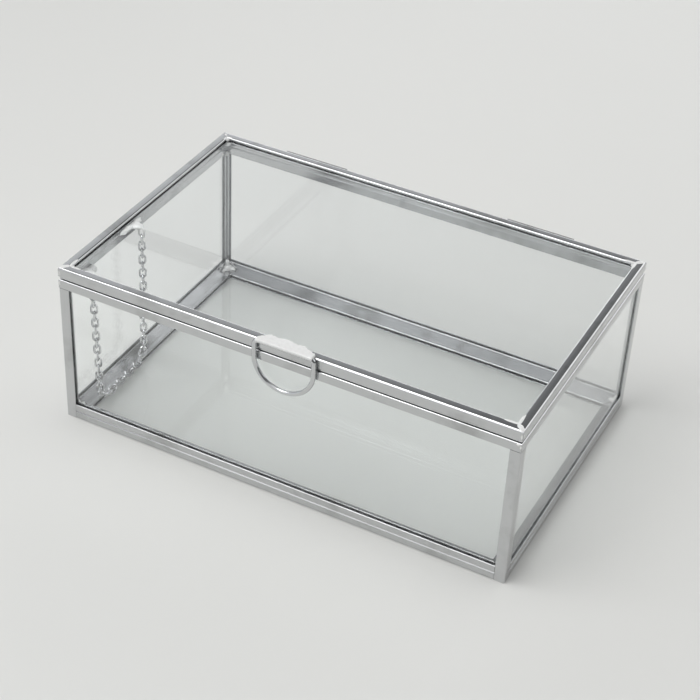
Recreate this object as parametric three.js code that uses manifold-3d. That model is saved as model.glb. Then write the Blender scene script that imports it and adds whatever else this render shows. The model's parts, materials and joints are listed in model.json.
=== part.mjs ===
// Glass jewelry box: clear panes held in soldered metal channels, a hinged glass lid
// with a half-round pull loop, two barrel hinges at the back and one stay chain.
// Millimetres, +X along the long side, +Y to the hinged back, +Z up, floor at Z = 0.

import * as THREE from 'three';
import { mergeVertices } from 'three/addons/utils/BufferGeometryUtils.js';
import Module from 'manifold-3d';

const wasm = await Module();
wasm.setup();

// Overall size of the box, without the loop and the hinges
const boxWidth = 200;
const boxDepth = 127;
const rimTop = 68.6;

// Sheet metal, panes and the clearances between them
const lip = 0.6;
const pane = 2;
const paneFit = 0.15;
const paneEdgeGap = 0.3;
const solderGap = 0.05;
const lidGap = 0.3;

// Channels that hold the panes
const ledgeWidth = 4.5;
const wallGrip = 3.5;
const rimHeight = 4;
const postReturn = 1;
const postWeb = 0.6;
const lidRailWidth = 4;
const lidTopLip = 1.1;
const lidBottomLip = 0.9;
const lidRestHeight = 1.1;
const lidRestInset = 0.5;
const lidSlotBack = 1;

// Pull loop
const loopWidth = 27.5;
const loopDrop = 20.7;
const loopOffset = 3.2;
const loopBar = 1.9;
const loopCorner = 1.1;
const loopStand = 0.4;
const loopFlange = 1.1;
const loopFlangeReach = 3.6;
const loopFlangeInset = 2;

// Barrel hinges
const hingeSpacing = 106;
const hingeLength = 30;
const knuckleLength = 10;
const knuckleGap = 0.2;
const barrelRadius = 1.5;
const barrelGap = 0.3;
const pinRadius = 0.7;
const boreRadius = 0.8;
const pinHeadRadius = 1.1;
const pinHeadLength = 0.5;
const leafSheet = 0.6;
const leafMargin = 0.3;

// Stay chain and the two soldered loops that it hangs on
const chainOffChannel = 5.5;
const frontEyeFromFront = 11;
const wire = 0.6;
const linkWidth = 2.8;
const linkWeld = 0.2;
const linkReach = 0.6;
const nominalPitch = 3.33;
const floorLinks = 8;
const bendLinks = 2;
const bendAngle = Math.PI / 4;
const chainFloorGap = 0.25;
const eyeWire = 0.7;
const eyeWidth = 4.4;
const eyeDrop = 4.2;
const lugLength = 3;
const lugHeight = 1.8;

// Facets of round shapes
const roundSides = 20;
const linkEndSides = 5;
const loopArcSides = 24;
const loopCornerSides = 6;

// Sizes that follow from the ones above
const slot = pane + 2 * paneFit;
const channel = slot + 2 * lip;
const ledgeTop = channel;
const ledgeReach = channel + ledgeWidth;
const bottomRailHeight = ledgeTop + wallGrip;
const postFace = channel + postReturn;
const rimBottom = rimTop - rimHeight;
const lidBottom = rimTop + lidGap;
const lidFaceBottom = lidBottom + lidRestHeight;
const lidSlotBottom = lidFaceBottom + lidBottomLip;
const lidSlotTop = lidSlotBottom + slot;
const lidTop = lidSlotTop + lidTopLip;
const webHalf = postWeb / Math.SQRT2;
const paneInset = lip + paneFit + pane + webHalf + paneEdgeGap;
const paneBottom = channel + lip + paneEdgeGap;
const paneTop = rimTop - lip - paneEdgeGap;
const axisOut = barrelRadius + barrelGap;
const axisZ = rimTop + lidGap / 2;
const loopReach = loopStand + loopBar;
const hingeReach = axisOut + barrelRadius;
const centreShift = (hingeReach - loopReach) / 2;

// Materials
const nickel = new THREE.MeshStandardMaterial({ color: 0xd2d4d6, metalness: 1, roughness: 0.16 });
const polishedNickel = new THREE.MeshStandardMaterial({ color: 0xdcdee0, metalness: 1, roughness: 0.06 });
const solder = new THREE.MeshStandardMaterial({ color: 0xc9cac6, metalness: 1, roughness: 0.34 });
const chainMetal = new THREE.MeshStandardMaterial({ color: 0xd8d9da, metalness: 1, roughness: 0.12 });
const clearGlass = new THREE.MeshStandardMaterial({
  color: 0xeef5f3,
  metalness: 0,
  roughness: 0.02,
  transparent: true,
  opacity: 0.25,
});

const box = new THREE.Group();
box.position.y = -centreShift;

function addPart(name, geometry, material, parent = box) {
  const mesh = new THREE.Mesh(geometry, material);
  mesh.name = name;
  parent.add(mesh);
  return mesh;
}

// A closed solid from a geometry, for joins and cuts
function solid(geometry) {
  const bare = geometry.clone();
  bare.deleteAttribute('normal');
  bare.deleteAttribute('uv');
  const merged = mergeVertices(bare, 1e-5);
  return new wasm.Manifold(new wasm.Mesh({
    numProp: 3,
    vertProperties: new Float32Array(merged.attributes.position.array),
    triVerts: new Uint32Array(merged.index.array),
  }));
}

function geometryOf(manifold) {
  const mesh = manifold.getMesh();
  const geometry = new THREE.BufferGeometry();
  geometry.setAttribute('position', new THREE.BufferAttribute(mesh.vertProperties, 3));
  geometry.setIndex(new THREE.BufferAttribute(mesh.triVerts, 1));
  geometry.computeVertexNormals();
  return geometry;
}

function join(geometries) {
  const joined = geometries.map(solid).reduce((whole, piece) => whole.add(piece));
  return geometryOf(joined);
}

function cut(geometry, tools) {
  const left = tools.map(solid).reduce((whole, tool) => whole.subtract(tool), solid(geometry));
  return geometryOf(left);
}

function block(low, high) {
  const size = high.map((value, i) => value - low[i]);
  const middle = high.map((value, i) => (value + low[i]) / 2);
  return new THREE.BoxGeometry(...size).translate(...middle);
}

function prism(points, depth) {
  const shape = new THREE.Shape(points.map(([x, y]) => new THREE.Vector2(x, y)));
  return new THREE.ExtrudeGeometry(shape, { depth, bevelEnabled: false, steps: 1 });
}

// Round bar along X
function bar(radius, start, end, y, z) {
  const length = end - start;
  const geometry = new THREE.CylinderGeometry(radius, radius, length, roundSides);
  return geometry.rotateZ(Math.PI / 2).translate(start + length / 2, y, z);
}

// A rail of constant section with mitred ends: X along the rail, Y inwards from the
// outer face, Z up. The section's points are [inwards, up]. Nearer to the outer face than
// the given depth the ends are square, where the rail butts against a corner post.
function mitredRail(section, length, squareDepth = 0) {
  const geometry = prism(section, 1);
  const position = geometry.attributes.position;
  for (let i = 0; i < position.count; i += 1) {
    const inwards = position.getX(i);
    const up = position.getY(i);
    const end = position.getZ(i) - 0.5;
    const inset = Math.max(inwards, squareDepth) + solderGap;
    position.setXYZ(i, end * (length - 2 * inset), inwards, up);
  }
  geometry.computeVertexNormals();
  return geometry;
}

// Each side of the box: its length, the outward distance of its face and its turn
const sides = [
  { name: 'front', length: boxWidth, reach: boxDepth / 2, turn: 0 },
  { name: 'right', length: boxDepth, reach: boxWidth / 2, turn: Math.PI / 2 },
  { name: 'back', length: boxWidth, reach: boxDepth / 2, turn: Math.PI },
  { name: 'left', length: boxDepth, reach: boxWidth / 2, turn: -Math.PI / 2 },
];

// A group whose X runs along the side and whose Y points inwards from the outer face
function sideGroup(side) {
  const turned = new THREE.Group();
  turned.rotation.z = side.turn;
  const group = new THREE.Group();
  group.position.y = -side.reach;
  turned.add(group);
  box.add(turned);
  return group;
}

// Bottom rail: a flat channel for the base pane with an upright channel on it
const bottomSection = [
  [0, 0], [postFace, 0], [ledgeReach, 0], [ledgeReach, lip], [postFace, lip], [lip, lip],
  [lip, lip + slot], [postFace, lip + slot], [ledgeReach, lip + slot],
  [ledgeReach, ledgeTop], [postFace, ledgeTop], [channel, ledgeTop],
  [channel, bottomRailHeight], [lip + slot, bottomRailHeight], [lip + slot, ledgeTop + lip],
  [lip, ledgeTop + lip], [lip, bottomRailHeight], [0, bottomRailHeight],
];

// Rim: a channel that opens downwards over the wall pane
const rimSection = [
  [0, rimBottom], [lip, rimBottom], [lip, rimTop - lip], [lip + slot, rimTop - lip],
  [lip + slot, rimBottom], [channel, rimBottom], [channel, rimTop], [0, rimTop],
];

// Lid rail: a channel that opens inwards, on a narrower strip that rests on the rim
const lidSection = [
  [lidRestInset, lidBottom], [lidRailWidth, lidBottom], [lidRailWidth, lidSlotBottom],
  [lidSlotBack, lidSlotBottom], [lidSlotBack, lidSlotTop], [lidRailWidth, lidSlotTop],
  [lidRailWidth, lidTop], [0, lidTop], [0, lidFaceBottom], [lidRestInset, lidFaceBottom],
];

for (const side of sides) {
  const group = sideGroup(side);
  addPart(`bottom_rail_${side.name}`, mitredRail(bottomSection, side.length, postFace), nickel, group);
  addPart(`rim_rail_${side.name}`, mitredRail(rimSection, side.length), nickel, group);
  addPart(`lid_rail_${side.name}`, mitredRail(lidSection, side.length), nickel, group);
  const half = side.length / 2 - paneInset;
  const face = lip + paneFit;
  const wall = block([-half, face, paneBottom], [half, face + pane, paneTop]);
  addPart(`${side.name}_glass`, wall, clearGlass, group);
}

// Corner posts down to the floor: two channels mitred on a diagonal web
const inner = lip + slot;
const postSection = [
  [0, 0], [postFace, 0], [postFace, lip], [lip + webHalf, lip],
  [inner + webHalf, inner], [postFace, inner], [postFace, channel], [channel, channel],
  [channel, postFace], [inner, postFace], [inner, inner + webHalf], [lip, lip + webHalf],
  [lip, postFace], [0, postFace],
];
const posts = [
  { name: 'front_left', x: -1, y: -1, turn: 0 },
  { name: 'front_right', x: 1, y: -1, turn: Math.PI / 2 },
  { name: 'back_right', x: 1, y: 1, turn: Math.PI },
  { name: 'back_left', x: -1, y: 1, turn: -Math.PI / 2 },
];
const postHeight = rimBottom - solderGap;
for (const post of posts) {
  const mesh = addPart(`post_${post.name}`, prism(postSection, postHeight), nickel);
  mesh.rotation.z = post.turn;
  mesh.position.set(post.x * boxWidth / 2, post.y * boxDepth / 2, 0);
}

// Base pane, clear of the posts, and lid pane
const baseInset = postFace + paneEdgeGap;
const baseX = boxWidth / 2 - baseInset;
const baseY = boxDepth / 2 - baseInset;
const baseLow = lip + paneFit;
addPart('base_glass', block([-baseX, -baseY, baseLow], [baseX, baseY, baseLow + pane]), clearGlass);

const lidInset = lidSlotBack + paneEdgeGap;
const lidX = boxWidth / 2 - lidInset;
const lidY = boxDepth / 2 - lidInset;
const lidLow = lidSlotBottom + paneFit;
addPart('lid_glass', block([-lidX, -lidY, lidLow], [lidX, lidY, lidLow + pane]), clearGlass);

function arc([x, z], radius, start, turn, steps) {
  return Array.from({ length: steps + 1 }, (_, i) => {
    const angle = start + (turn * i) / steps;
    return [x + radius * Math.cos(angle), z + radius * Math.sin(angle)];
  });
}

// Outline at a distance inside the loop's outer edge: a half circle below, straight
// sides and two rounded corners above
function loopOutline(top, inside) {
  const half = loopWidth / 2 - inside;
  const middle = lidTop - loopDrop + loopWidth / 2;
  const corner = loopCorner + loopBar - inside;
  const cornerZ = top - inside - corner;
  return [
    ...arc([0, middle], half, Math.PI, Math.PI, loopArcSides),
    ...arc([half - corner, cornerZ], corner, 0, Math.PI / 2, loopCornerSides),
    ...arc([corner - half, cornerZ], corner, Math.PI / 2, Math.PI / 2, loopCornerSides),
  ];
}

// Pull loop: a bar bent to a half-round loop, on a flange that is soldered to the lid rail
function pullLoop() {
  const flangeLow = lidTop + solderGap;
  const flangeTop = flangeLow + loopFlange;
  const loopBack = -boxDepth / 2 - loopStand;
  const [outer, inner] = [0, loopBar].map((inside) => prism(loopOutline(flangeTop, inside), loopBar));
  const ring = cut(outer, [inner]).rotateX(Math.PI / 2).translate(0, loopBack, 0);
  const flangeHalf = loopWidth / 2 - loopFlangeInset;
  const flange = block(
    [-flangeHalf, loopBack - loopBar / 2, flangeLow],
    [flangeHalf, -boxDepth / 2 + loopFlangeReach, flangeTop],
  );
  return join([ring, flange]).translate(loopOffset, 0, 0);
}
addPart('pull_loop', pullLoop(), polishedNickel);

// Barrel hinges on the outside of the back rails
const hingeY = boxDepth / 2 + axisOut;
const leafFront = boxDepth / 2 + solderGap;
const leafBack = leafFront + leafSheet;
const barrelClear = barrelRadius + leafMargin;
const knuckleHalf = knuckleLength / 2;
const hingeHalf = hingeLength / 2;

function barrel(start, end) {
  const bore = bar(boreRadius, start - 1, end + 1, hingeY, axisZ);
  return cut(bar(barrelRadius, start, end, hingeY, axisZ), [bore]);
}

// The strip that ties a barrel to its leaf, cut clear of the bore
function strip(start, end, low, high) {
  const bore = bar(boreRadius, start - 1, end + 1, hingeY, axisZ);
  return cut(block([start, leafFront, low], [end, leafBack, high]), [bore]);
}

function boxLeaf() {
  const low = rimBottom + leafMargin;
  const start = knuckleHalf + knuckleGap;
  const plate = block([-hingeHalf, leafFront, low], [hingeHalf, leafBack, axisZ - barrelClear]);
  return join([
    plate,
    strip(-hingeHalf, -start, low, axisZ), barrel(-hingeHalf, -start),
    strip(start, hingeHalf, low, axisZ), barrel(start, hingeHalf),
  ]);
}

function lidLeaf() {
  const high = lidTop - leafMargin;
  const plate = block([-hingeHalf, leafFront, axisZ + barrelClear], [hingeHalf, leafBack, high]);
  return join([plate, strip(-knuckleHalf, knuckleHalf, axisZ, high), barrel(-knuckleHalf, knuckleHalf)]);
}

function hingePin() {
  const shank = bar(pinRadius, -hingeHalf - pinHeadLength, hingeHalf + pinHeadLength, hingeY, axisZ);
  const headStart = hingeHalf + solderGap;
  const headEnd = headStart + pinHeadLength;
  const heads = [-1, 1].map((end) => {
    const ends = [end * headStart, end * headEnd].sort((a, b) => a - b);
    return bar(pinHeadRadius, ends[0], ends[1], hingeY, axisZ);
  });
  return join([shank, ...heads]);
}

for (const [name, end] of [['left', -1], ['right', 1]]) {
  const group = new THREE.Group();
  group.position.x = (end * hingeSpacing) / 2;
  box.add(group);
  addPart(`hinge_${name}_box_leaf`, boxLeaf(), nickel, group);
  addPart(`hinge_${name}_lid_leaf`, lidLeaf(), nickel, group);
  addPart(`hinge_${name}_pin`, hingePin(), nickel, group);
}

// Stay chain. It hangs in one plane beside the left wall, from a loop on the rim down to the edge
// of the ledge, along it and up to a loop on the lid. Its pitch is set so that the strand fits.
const chainX = -boxWidth / 2 + channel + chainOffChannel;
const ledgeLine = ledgeTop + linkWidth / 2 + chainFloorGap;
const rimLug = rimTop - rimHeight / 2;
const rimPivot = rimLug - eyeDrop;
const strandDrop = rimPivot - ledgeLine;
const bendShare = Math.sin(bendAngle);
const strandLinks = 2 * Math.round((strandDrop / nominalPitch - bendLinks * bendShare) / 2);
const runLoss = linkWeld + linkReach - wire / 2;
const pitch = (strandDrop + runLoss * (1 + bendShare)) / (strandLinks + bendLinks * bendShare);
const linkInside = pitch - linkWeld;
const runLength = (links) => links * pitch - runLoss;

// Flat ring with round ends: length along X, width along Y, thickness along Z
function stadium(insideLength, width, thickness) {
  const centre = insideLength / 2 - (width / 2 - thickness);
  const outline = (radius) => {
    const points = [];
    for (const end of [0, 1]) {
      for (let i = 0; i <= linkEndSides; i += 1) {
        const angle = -Math.PI / 2 + Math.PI * (end + i / linkEndSides);
        const along = (end === 0 ? centre : -centre) + radius * Math.cos(angle);
        points.push(new THREE.Vector2(along, radius * Math.sin(angle)));
      }
    }
    return points;
  };
  const shape = new THREE.Shape(outline(width / 2));
  shape.holes.push(new THREE.Path(outline(width / 2 - thickness)));
  const geometry = new THREE.ExtrudeGeometry(shape, { depth: thickness, bevelEnabled: false, steps: 1 });
  return geometry.translate(0, 0, -thickness / 2);
}

// A run of links along X from a pivot at the origin, the first link upright
function chainRun(links) {
  const pieces = [];
  for (let i = 0; i < links; i += 1) {
    const link = stadium(linkInside, linkWidth, wire);
    if (i % 2 === 0) link.rotateX(Math.PI / 2);
    pieces.push(link.translate(linkInside / 2 - linkReach + i * pitch, 0, 0));
  }
  return join(pieces);
}

// The runs in order from the loop on the rim, each turned up from the last by the bend angle
const runs = [
  { name: 'chain_front_strand', links: strandLinks, angle: -2 * bendAngle },
  { name: 'chain_front_bend', links: bendLinks, angle: -bendAngle },
  { name: 'chain_floor_run', links: floorLinks, angle: 0 },
  { name: 'chain_rear_bend', links: bendLinks, angle: bendAngle },
];
let pivotY = -boxDepth / 2 + frontEyeFromFront;
let pivotZ = rimPivot;
function placeRun(name, links, y, z, angle) {
  const geometry = chainRun(links).rotateZ(Math.PI / 2).rotateX(angle);
  addPart(name, geometry.translate(chainX, y, z), chainMetal);
}
const rimEyeY = pivotY;
for (const run of runs) {
  placeRun(run.name, run.links, pivotY, pivotZ, run.angle);
  pivotY += runLength(run.links) * Math.cos(run.angle);
  pivotZ += runLength(run.links) * Math.sin(run.angle);
}

// The rear strand hangs from the lid. The one link that would close the loop is left out.
const closingLinks = strandLinks + 1;
const lidPivot = pivotZ + closingLinks * pitch - linkWeld - 2 * linkReach;
placeRun('chain_rear_strand', strandLinks, pivotY, lidPivot, -2 * bendAngle);

// Soldered loop: a lug on the rail's inner face with a long ring that holds the first link
function chainEye(faceX, lugZ, loopZ, y) {
  const lug = block(
    [faceX + solderGap, y - lugLength / 2, lugZ - lugHeight / 2],
    [chainX + eyeWire, y + lugLength / 2, lugZ + lugHeight / 2],
  );
  const inside = lugZ - loopZ - eyeWire;
  const ring = stadium(inside, eyeWidth, eyeWire).rotateY(Math.PI / 2).rotateZ(Math.PI / 2);
  return join([lug, ring.translate(chainX, y, (lugZ + loopZ) / 2)]);
}
const rimFaceX = -boxWidth / 2 + channel;
const lidFaceX = -boxWidth / 2 + lidRailWidth;
const lidLug = (lidBottom + lidSlotBottom) / 2;
addPart('chain_eye_rim', chainEye(rimFaceX, rimLug, rimPivot, rimEyeY), solder);
addPart('chain_eye_lid', chainEye(lidFaceX, lidLug, lidPivot, pivotY), solder);

export default box;
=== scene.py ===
"""Glass jewelry box: panes in soldered nickel channels, a hinged lid with a pull loop, and a stay chain.

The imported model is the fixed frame. Each operator models one group of pieces over it, in metres.
"""

import json
from math import pi, radians
from random import Random

import bmesh
import bpy
from bpy.props import FloatProperty, FloatVectorProperty, PointerProperty
from mathutils import Matrix, Vector, noise


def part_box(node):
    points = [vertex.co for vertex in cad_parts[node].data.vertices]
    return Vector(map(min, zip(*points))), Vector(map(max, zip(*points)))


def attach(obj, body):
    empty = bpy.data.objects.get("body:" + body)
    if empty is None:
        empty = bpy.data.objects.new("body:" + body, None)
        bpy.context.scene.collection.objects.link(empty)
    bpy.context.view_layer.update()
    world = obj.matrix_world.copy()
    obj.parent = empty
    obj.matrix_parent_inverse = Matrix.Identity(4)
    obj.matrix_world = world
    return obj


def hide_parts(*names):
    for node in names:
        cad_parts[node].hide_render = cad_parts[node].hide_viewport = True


bl_info = {
    "name": "Glass jewelry box",
    "version": (1, 0, 0),
    "blender": (4, 5, 0),
    "location": "View3D > Sidebar > Jewelry Box",
    "description": "Models a glass jewelry box in soldered metal channels over its packed frame",
    "category": "Object",
}

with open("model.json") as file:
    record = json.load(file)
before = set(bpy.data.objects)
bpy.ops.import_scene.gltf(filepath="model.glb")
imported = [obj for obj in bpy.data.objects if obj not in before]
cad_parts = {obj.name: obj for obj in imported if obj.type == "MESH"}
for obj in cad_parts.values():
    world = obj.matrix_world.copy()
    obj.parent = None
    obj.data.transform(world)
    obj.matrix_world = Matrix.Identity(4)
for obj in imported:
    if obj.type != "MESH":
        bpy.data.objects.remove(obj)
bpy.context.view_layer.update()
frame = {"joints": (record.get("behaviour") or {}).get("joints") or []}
MM = 0.001

# Outer faces and heights of the box, read from the frame
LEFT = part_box("rim_rail_left")[0].x
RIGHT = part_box("rim_rail_right")[1].x
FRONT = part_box("rim_rail_front")[0].y
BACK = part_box("rim_rail_back")[1].y
MIDDLE_X = (LEFT + RIGHT) / 2
MIDDLE_Y = (FRONT + BACK) / 2
RIM_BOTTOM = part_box("rim_rail_front")[0].z
RIM_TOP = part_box("rim_rail_front")[1].z
LID_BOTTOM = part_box("lid_rail_front")[0].z
LID_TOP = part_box("lid_rail_front")[1].z
BOTTOM_RAIL_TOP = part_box("bottom_rail_front")[1].z
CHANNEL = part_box("rim_rail_left")[1].x - LEFT
LEDGE_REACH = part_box("bottom_rail_left")[1].x - LEFT
LEDGE_TOP = CHANNEL
POST_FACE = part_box("post_front_left")[1].x - LEFT
POST_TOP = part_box("post_front_left")[1].z
LID_RAIL_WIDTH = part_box("lid_rail_left")[1].x - LEFT

# Joint places, which are also where the chain's runs meet
PIVOT = {joint["name"]: Vector(joint["pos_m"]) for joint in frame["joints"]}
HINGE_AXIS = PIVOT["lid_hinge"]


def mm(*values):
    """Values in millimetres, as metres."""
    return tuple(value * MM for value in values)


def placed(x, y, turn):
    """Matrix that sets a shape at a place in plan, turned about Z."""
    return Matrix.Translation((x, y, 0)) @ Matrix.Rotation(turn, 4, "Z")


# Each side: its length, and the matrix from its own axes, X along it and Y inwards from its outer face
SIDES = {
    "front": (RIGHT - LEFT, placed(MIDDLE_X, FRONT, 0.0)),
    "right": (BACK - FRONT, placed(RIGHT, MIDDLE_Y, pi / 2)),
    "back": (RIGHT - LEFT, placed(MIDDLE_X, BACK, pi)),
    "left": (BACK - FRONT, placed(LEFT, MIDDLE_Y, -pi / 2)),
}
# Each corner: the matrix from its own axes, X and Y inwards from its two outer faces
CORNERS = {
    "front_left": placed(LEFT, FRONT, 0.0),
    "front_right": placed(RIGHT, FRONT, pi / 2),
    "back_right": placed(RIGHT, BACK, pi),
    "back_left": placed(LEFT, BACK, -pi / 2),
}


def linear(colour):
    """Linear RGB of an sRGB hex colour."""
    shares = [int(colour[i:i + 2], 16) / 255 for i in (1, 3, 5)]
    return tuple(c / 12.92 if c <= 0.04045 else ((c + 0.055) / 1.055) ** 2.4 for c in shares)


class JewelryBoxSizes(bpy.types.PropertyGroup):
    """Sizes of the sheet, glass edges, bar and wire, in metres."""

    sheet: FloatProperty(
        name="Channel sheet", description="Thickness of the folded channel's sheet metal",
        default=0.6 * MM, unit="LENGTH", precision=5)
    fold: FloatProperty(
        name="Fold radius", description="Outside radius where the channel sheet is folded",
        default=0.6 * MM, unit="LENGTH", precision=5)
    lid_fold: FloatProperty(
        name="Lid fold radius", description="Outside radius of the lid rail's top edge",
        default=1.0 * MM, unit="LENGTH", precision=5)
    lip_round: FloatProperty(
        name="Lip rounding", description="Rounding along the cut lips of the channels",
        default=0.2 * MM, unit="LENGTH", precision=5)
    mitre_gap: FloatProperty(
        name="Mitre gap", description="Gap left at each mitred end before soldering",
        default=0.05 * MM, unit="LENGTH", precision=5)
    arris: FloatProperty(
        name="Pane arris", description="Width of the seamed edge on each glass pane",
        default=0.3 * MM, unit="LENGTH", precision=5)
    loop_bar: FloatProperty(
        name="Loop bar", description="Diameter of the round bar in the pull loop",
        default=1.9 * MM, unit="LENGTH", precision=5)
    loop_corner: FloatProperty(
        name="Loop corner", description="Inside radius of the pull loop's two upper corners",
        default=1.1 * MM, unit="LENGTH", precision=5)
    wire: FloatProperty(
        name="Chain wire", description="Diameter of the wire in the chain's links",
        default=0.95 * MM, unit="LENGTH", precision=5)
    link_width: FloatProperty(
        name="Link width", description="Outside width of a chain link",
        default=3.4 * MM, unit="LENGTH", precision=5)
    eye_wire: FloatProperty(
        name="Eye wire", description="Diameter of the wire in the two rings that hold the chain",
        default=0.9 * MM, unit="LENGTH", precision=5)


class JewelryBoxColours(bpy.types.PropertyGroup):
    """Colours of the finishes."""

    nickel: FloatVectorProperty(
        name="Nickel", description="Polished nickel plate on the channels and hinges",
        subtype="COLOR", default=linear("#C9CACB"), min=0, max=1)
    nickel_worn: FloatVectorProperty(
        name="Dull nickel", description="Nickel where the sheet is dull or stained by flux",
        subtype="COLOR", default=linear("#A5A6A5"), min=0, max=1)
    loop: FloatVectorProperty(
        name="Loop", description="Mirror-polished bar of the pull loop",
        subtype="COLOR", default=linear("#D2D3D5"), min=0, max=1)
    chain: FloatVectorProperty(
        name="Chain", description="Bright plated wire of the stay chain",
        subtype="COLOR", default=linear("#E6E6E6"), min=0, max=1)
    solder: FloatVectorProperty(
        name="Solder", description="Plated soft solder in the corners",
        subtype="COLOR", default=linear("#F2F2F1"), min=0, max=1)
    # Painted shade: this greyer colour is painted into the solder's dimples, where its bump is low
    solder_painted_shade: FloatVectorProperty(
        name="Solder in hollows", description="Greyer solder in its dimples",
        subtype="COLOR", default=linear("#DADAD8"), min=0, max=1)
    glass: FloatVectorProperty(
        name="Glass", description="Clear float glass, very slightly green",
        subtype="COLOR", default=linear("#FDFEFE"), min=0, max=1)
    floor: FloatVectorProperty(
        name="Floor", description="Pale studio floor",
        subtype="COLOR", default=linear("#DADAD7"), min=0, max=1)


# Node and material helpers

def add_node(tree, kind, settings=None, links=None):
    """Adds a node. Settings and links are keyed by an input's name or number, or by a node property."""
    made = tree.nodes.new(kind)
    for key, value in (settings or {}).items():
        if isinstance(key, int) or key in made.inputs:
            made.inputs[key].default_value = value
        else:
            setattr(made, key, value)
    for key, socket in (links or {}).items():
        tree.links.new(socket, made.inputs[key])
    return made


def new_material(name):
    """An empty node material, its tree and its output node."""
    material = bpy.data.materials.new(name)
    material.use_nodes = True
    tree = material.node_tree
    tree.nodes.clear()
    return material, tree, tree.nodes.new("ShaderNodeOutputMaterial")


def rgba(colour):
    """A colour with full alpha, as a node's colour socket takes it."""
    return (*colour, 1.0)


def drawn_nickel(name, bright, dull, rough_low, rough_high):
    """Roll-formed sheet, nickel plated and polished: long draw lines and slightly wavy reflections.

    Real draw lines are about 0.1 mm apart, too fine for the render, so they are drawn 0.7 mm apart.
    """
    line_length, line_gap, line_depth = mm(60, 0.7, 0.012)
    stain_size, wave_size, wave_depth = mm(22, 30, 0.015)
    material, tree, output = new_material(name)
    along = add_node(tree, "ShaderNodeUVMap", {"uv_map": "along"})
    lines_place = add_node(tree, "ShaderNodeMapping", {"Scale": (1 / line_length, 1 / line_gap, 1)},
                           {"Vector": along.outputs["UV"]})
    lines = add_node(tree, "ShaderNodeTexNoise", {"Scale": 1.0, "Detail": 3.0, "Roughness": 0.55},
                     {"Vector": lines_place.outputs["Vector"]})
    place = add_node(tree, "ShaderNodeTexCoord")
    stain = add_node(tree, "ShaderNodeTexNoise", {"Scale": 1 / stain_size, "Detail": 4.0, "Roughness": 0.6},
                     {"Vector": place.outputs["Object"]})
    stain_share = add_node(tree, "ShaderNodeMapRange", {"From Min": 0.52, "From Max": 0.78},
                           {"Value": stain.outputs["Fac"]})
    colour = add_node(tree, "ShaderNodeMix", {"data_type": "RGBA", "A": rgba(bright), "B": rgba(dull)},
                      {"Factor": stain_share.outputs["Result"]})
    rough = add_node(tree, "ShaderNodeMapRange",
                     {"From Min": 0.3, "From Max": 0.75, "To Min": rough_low, "To Max": rough_high},
                     {"Value": lines.outputs["Fac"]})
    wave = add_node(tree, "ShaderNodeTexNoise", {"Scale": 1 / wave_size, "Detail": 1.0},
                    {"Vector": place.outputs["Object"]})
    wavy = add_node(tree, "ShaderNodeBump", {"Strength": 0.5, "Distance": wave_depth},
                    {"Height": wave.outputs["Fac"]})
    scored = add_node(tree, "ShaderNodeBump", {"Strength": 0.12, "Distance": line_depth},
                      {"Height": lines.outputs["Fac"], "Normal": wavy.outputs["Normal"]})
    shader = add_node(tree, "ShaderNodeBsdfPrincipled", {"Metallic": 1.0},
                      {"Base Color": colour.outputs["Result"], "Roughness": rough.outputs["Result"],
                       "Normal": scored.outputs["Normal"]})
    tree.links.new(shader.outputs["BSDF"], output.inputs["Surface"])
    return material


def mirror_nickel(name, bright, dull, rough_low, rough_high, cloud_size):
    """Buffed nickel plate: a mirror, faintly clouded and uneven from polishing."""
    cloud_depth = 0.02 * MM
    material, tree, output = new_material(name)
    place = add_node(tree, "ShaderNodeTexCoord")
    cloud = add_node(tree, "ShaderNodeTexNoise", {"Scale": 1 / cloud_size, "Detail": 5.0, "Roughness": 0.6},
                     {"Vector": place.outputs["Object"]})
    rough = add_node(tree, "ShaderNodeMapRange",
                     {"From Min": 0.35, "From Max": 0.75, "To Min": rough_low, "To Max": rough_high},
                     {"Value": cloud.outputs["Fac"]})
    colour = add_node(tree, "ShaderNodeMix", {"data_type": "RGBA", "A": rgba(bright), "B": rgba(dull)},
                      {"Factor": cloud.outputs["Fac"]})
    buffed = add_node(tree, "ShaderNodeBump", {"Strength": 0.3, "Distance": cloud_depth},
                      {"Height": cloud.outputs["Fac"]})
    shader = add_node(tree, "ShaderNodeBsdfPrincipled", {"Metallic": 1.0},
                      {"Base Color": colour.outputs["Result"], "Roughness": rough.outputs["Result"],
                       "Normal": buffed.outputs["Normal"]})
    tree.links.new(shader.outputs["BSDF"], output.inputs["Surface"])
    return material


def plated_solder(name, bright, shade):
    """Soft solder, plated over: flowed lumps with small dimples and a satin shine, the dimples darkened
    with painted shade.
    """
    dimple_size, dimple_depth = mm(1.1, 0.1)
    material, tree, output = new_material(name)
    place = add_node(tree, "ShaderNodeTexCoord")
    grain = add_node(tree, "ShaderNodeTexNoise",
                     {"Scale": 1 / dimple_size, "Detail": 4.0, "Roughness": 0.6},
                     {"Vector": place.outputs["Object"]})
    # Painted shade: the greyer colour goes where the grain, and so the bump, is low, in the dimples
    colour = add_node(tree, "ShaderNodeMix", {"data_type": "RGBA", "A": rgba(shade), "B": rgba(bright)},
                      {"Factor": grain.outputs["Fac"]})
    rough = add_node(tree, "ShaderNodeMapRange", {"To Min": 0.38, "To Max": 0.6},
                     {"Value": grain.outputs["Fac"]})
    dimples = add_node(tree, "ShaderNodeBump", {"Strength": 0.5, "Distance": dimple_depth},
                       {"Height": grain.outputs["Fac"]})
    shader = add_node(tree, "ShaderNodeBsdfPrincipled", {"Metallic": 0.3},
                      {"Base Color": colour.outputs["Result"], "Roughness": rough.outputs["Result"],
                       "Normal": dimples.outputs["Normal"]})
    tree.links.new(shader.outputs["BSDF"], output.inputs["Surface"])
    return material


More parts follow.
